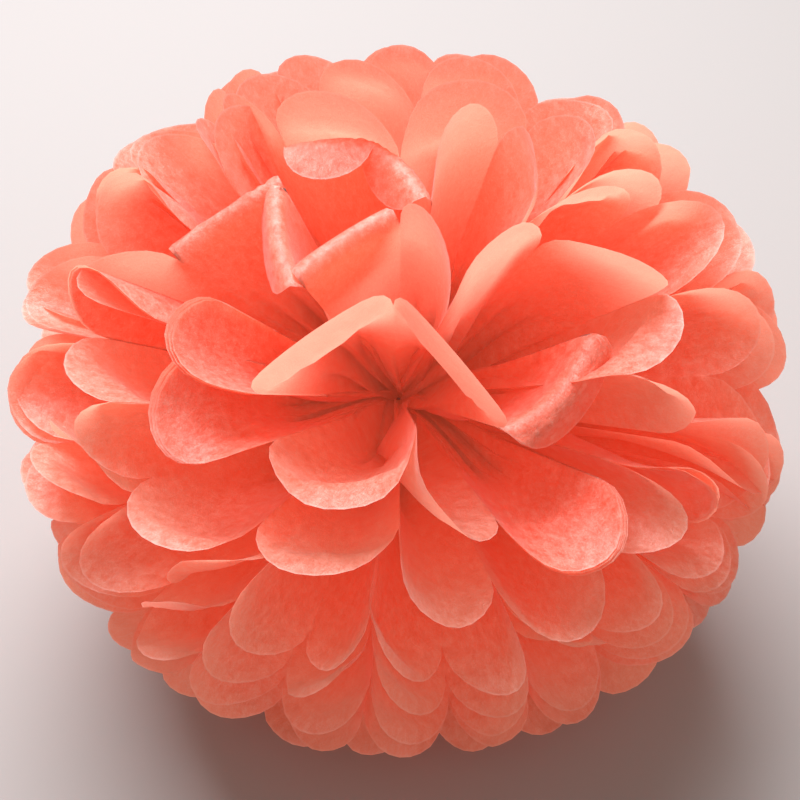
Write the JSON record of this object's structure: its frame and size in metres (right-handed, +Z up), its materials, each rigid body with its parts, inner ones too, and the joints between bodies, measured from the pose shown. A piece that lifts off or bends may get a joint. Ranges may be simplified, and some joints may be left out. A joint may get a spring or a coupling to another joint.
{
  "type": "tissue paper pom pom",
  "caption": "Round decorative pom pom of pleated tissue sheets with rounded petals, tied at the middle and fluffed into a ball that rests on a table.",
  "frame": {"origin": "under the middle of the ball, on the table it rests on", "axes": "+Z up; the crown of the ball, where the petals converge, leans from +Z towards -Y; +X to the right seen from the crown side"},
  "size_m": [0.2472, 0.2276, 0.2079],
  "materials": {
    "tissue": "soft, thin and slightly translucent, matte",
    "wire": "plain thin craft wire"
  },
  "bodies": {
    "root": {"sheet_01": "tissue", "sheet_02": "tissue", "sheet_03": "tissue", "sheet_04": "tissue", "sheet_05": "tissue", "sheet_06": "tissue", "sheet_07": "tissue", "sheet_08": "tissue", "sheet_09": "tissue", "sheet_10": "tissue", "sheet_11": "tissue", "sheet_12": "tissue", "wire_tie": "wire"}
  },
  "joints": []
}
